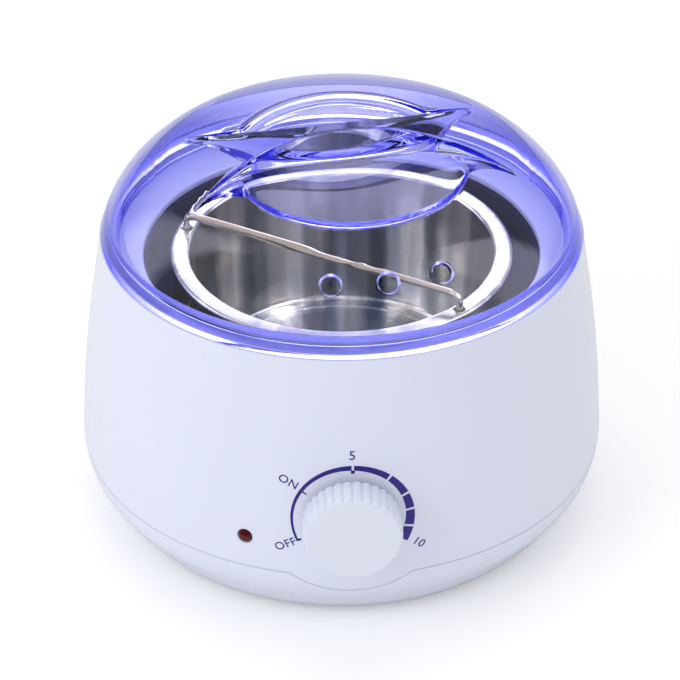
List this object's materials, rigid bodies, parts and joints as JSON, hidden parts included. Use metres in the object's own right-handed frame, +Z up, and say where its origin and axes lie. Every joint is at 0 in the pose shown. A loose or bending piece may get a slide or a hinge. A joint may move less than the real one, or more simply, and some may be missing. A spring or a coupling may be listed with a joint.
{
  "type": "wax warmer",
  "caption": "Table-top wax warmer: a round white housing with a rotary heat knob, a lift-out pot with a wire bail in a heated well, and a tinted domed lid.",
  "frame": {"origin": "the middle of the lower housing's flat underside; the rubber feet reach 2 mm below it", "axes": "+Z up, -Y towards the control knob, +X to the right when the knob is seen from the front"},
  "size_m": [0.18, 0.1922, 0.1414],
  "materials": {
    "white_plastic": "gloss moulded, cool white",
    "dark_enamel": "dark blue satin coating",
    "mica": "pressed mica band",
    "glass_fibre": "woven glass fibre",
    "steel": "zinc plated",
    "brass": "bright",
    "spun_aluminium": "spun, lightly brushed",
    "nickel_wire": "nickel plated wire",
    "tinted_plastic": "clear violet tinted plastic",
    "ceramic": "steatite",
    "red_lens": "clear dark red",
    "lamp_glass": "clear neon bulb",
    "foot_rubber": "matt",
    "black_plastic": "matt moulded",
    "red_sleeve": "silicone and glass sleeving",
    "blue_sleeve": "silicone and glass sleeving"
  },
  "bodies": {
    "housing": {"lower_housing": "white_plastic", "upper_housing": "white_plastic", "heating_well": "dark_enamel", "band_heater": "mica", "insulation_sleeve": "glass_fibre", "heat_shield": "steel", "thermal_fuse": "brass", "fuse_clip": "steel", "well_screw_1": "steel", "well_screw_2": "steel", "well_screw_3": "steel", "well_screw_4": "steel", "thermostat": "ceramic", "thermostat_nut": "steel", "indicator_lens": "red_lens", "neon_lamp": "lamp_glass", "housing_screw_1": "steel", "housing_screw_2": "steel", "housing_screw_3": "steel", "housing_screw_4": "steel", "rubber_foot_1": "foot_rubber", "rubber_foot_2": "foot_rubber", "rubber_foot_3": "foot_rubber", "rubber_foot_4": "foot_rubber", "cord_gland": "black_plastic", "terminal_block": "ceramic", "thermostat_lead": "red_sleeve", "heater_lead": "blue_sleeve", "link_lead": "red_sleeve", "lamp_lead": "blue_sleeve"},
    "knob": {"control_knob": "white_plastic", "thermostat_shaft": "brass"},
    "pot": {"wax_pot": "spun_aluminium"},
    "bail": {"bail_handle": "nickel_wire"},
    "lid": {"lid": "tinted_plastic"}
  },
  "joints": [
    {"name": "knob_turn", "type": "hinge", "parent": "housing", "child": "knob", "pos_m": [0, -0.09, 0.046], "axis": [0, 1, 0], "range_deg": [0, 234]},
    {"name": "pot_lift", "type": "slide", "parent": "housing", "child": "pot", "axis": [0, 0, 1], "range_m": [0, 0.075]},
    {"name": "bail_lift", "type": "slide", "parent": "pot", "child": "bail", "axis": [0, 0, 1], "range_m": [0, 0.025]},
    {"name": "lid_lift", "type": "slide", "parent": "bail", "child": "lid", "axis": [0, 0, 1], "range_m": [0, 0.06]}
  ]
}
